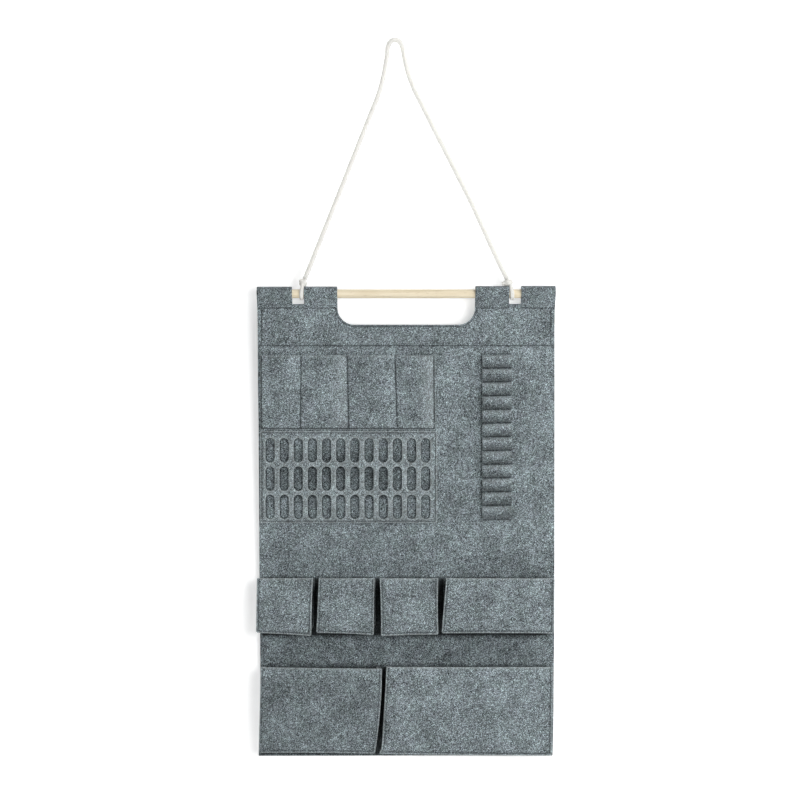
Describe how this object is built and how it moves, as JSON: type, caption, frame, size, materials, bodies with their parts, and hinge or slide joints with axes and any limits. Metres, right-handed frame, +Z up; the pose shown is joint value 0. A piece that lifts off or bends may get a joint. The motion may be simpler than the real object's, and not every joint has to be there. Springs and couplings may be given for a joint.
{
  "type": "wall hanging organizer",
  "caption": "Grey felt wall hanging organizer on a wooden dowel and cotton cord, with flat pockets, a slotted panel, a strip of tool loops and deep box pockets.",
  "frame": {"origin": "the place under the top of the hanging cord where a nail bears, at the middle of the cord's thickness", "axes": "+Z up, +X to the right of someone who faces the organizer, +Y into the wall, so the pockets face -Y"},
  "size_m": [0.5, 0.0594, 1.2098],
  "materials": {
    "grey_felt": "thick grey melange wool felt, matt, with fine light and dark fibres and raw cut edges",
    "dowel_wood": "pale sanded beech or birch, unvarnished, with fine straight grain",
    "cotton_cord": "off-white twisted cotton cord, matt and slightly fuzzy"
  },
  "bodies": {
    "hanger": {"hanging_cord": "cotton_cord", "left_cord_hitch": "cotton_cord", "right_cord_hitch": "cotton_cord"},
    "organizer": {"back_panel": "grey_felt", "flat_pocket_strip": "grey_felt", "slotted_panel": "grey_felt", "tool_loop_strip": "grey_felt", "upper_pocket_1_gusset": "grey_felt", "upper_pocket_1_front": "grey_felt", "upper_pocket_2_gusset": "grey_felt", "upper_pocket_2_front": "grey_felt", "upper_pocket_3_gusset": "grey_felt", "upper_pocket_3_front": "grey_felt", "upper_pocket_4_gusset": "grey_felt", "upper_pocket_4_front": "grey_felt", "lower_pocket_left_gusset": "grey_felt", "lower_pocket_left_front": "grey_felt", "lower_pocket_right_gusset": "grey_felt", "lower_pocket_right_front": "grey_felt"},
    "dowel": {"dowel": "dowel_wood"}
  },
  "joints": [
    {"name": "panel_swing", "type": "hinge", "parent": "hanger", "child": "organizer", "pos_m": [0, 0, -0.424], "axis": [-1, 0, 0], "range_deg": [0, 90]},
    {"name": "dowel_slide", "type": "slide", "parent": "organizer", "child": "dowel", "axis": [1, 0, 0], "range_m": [0, 0.5]}
  ]
}
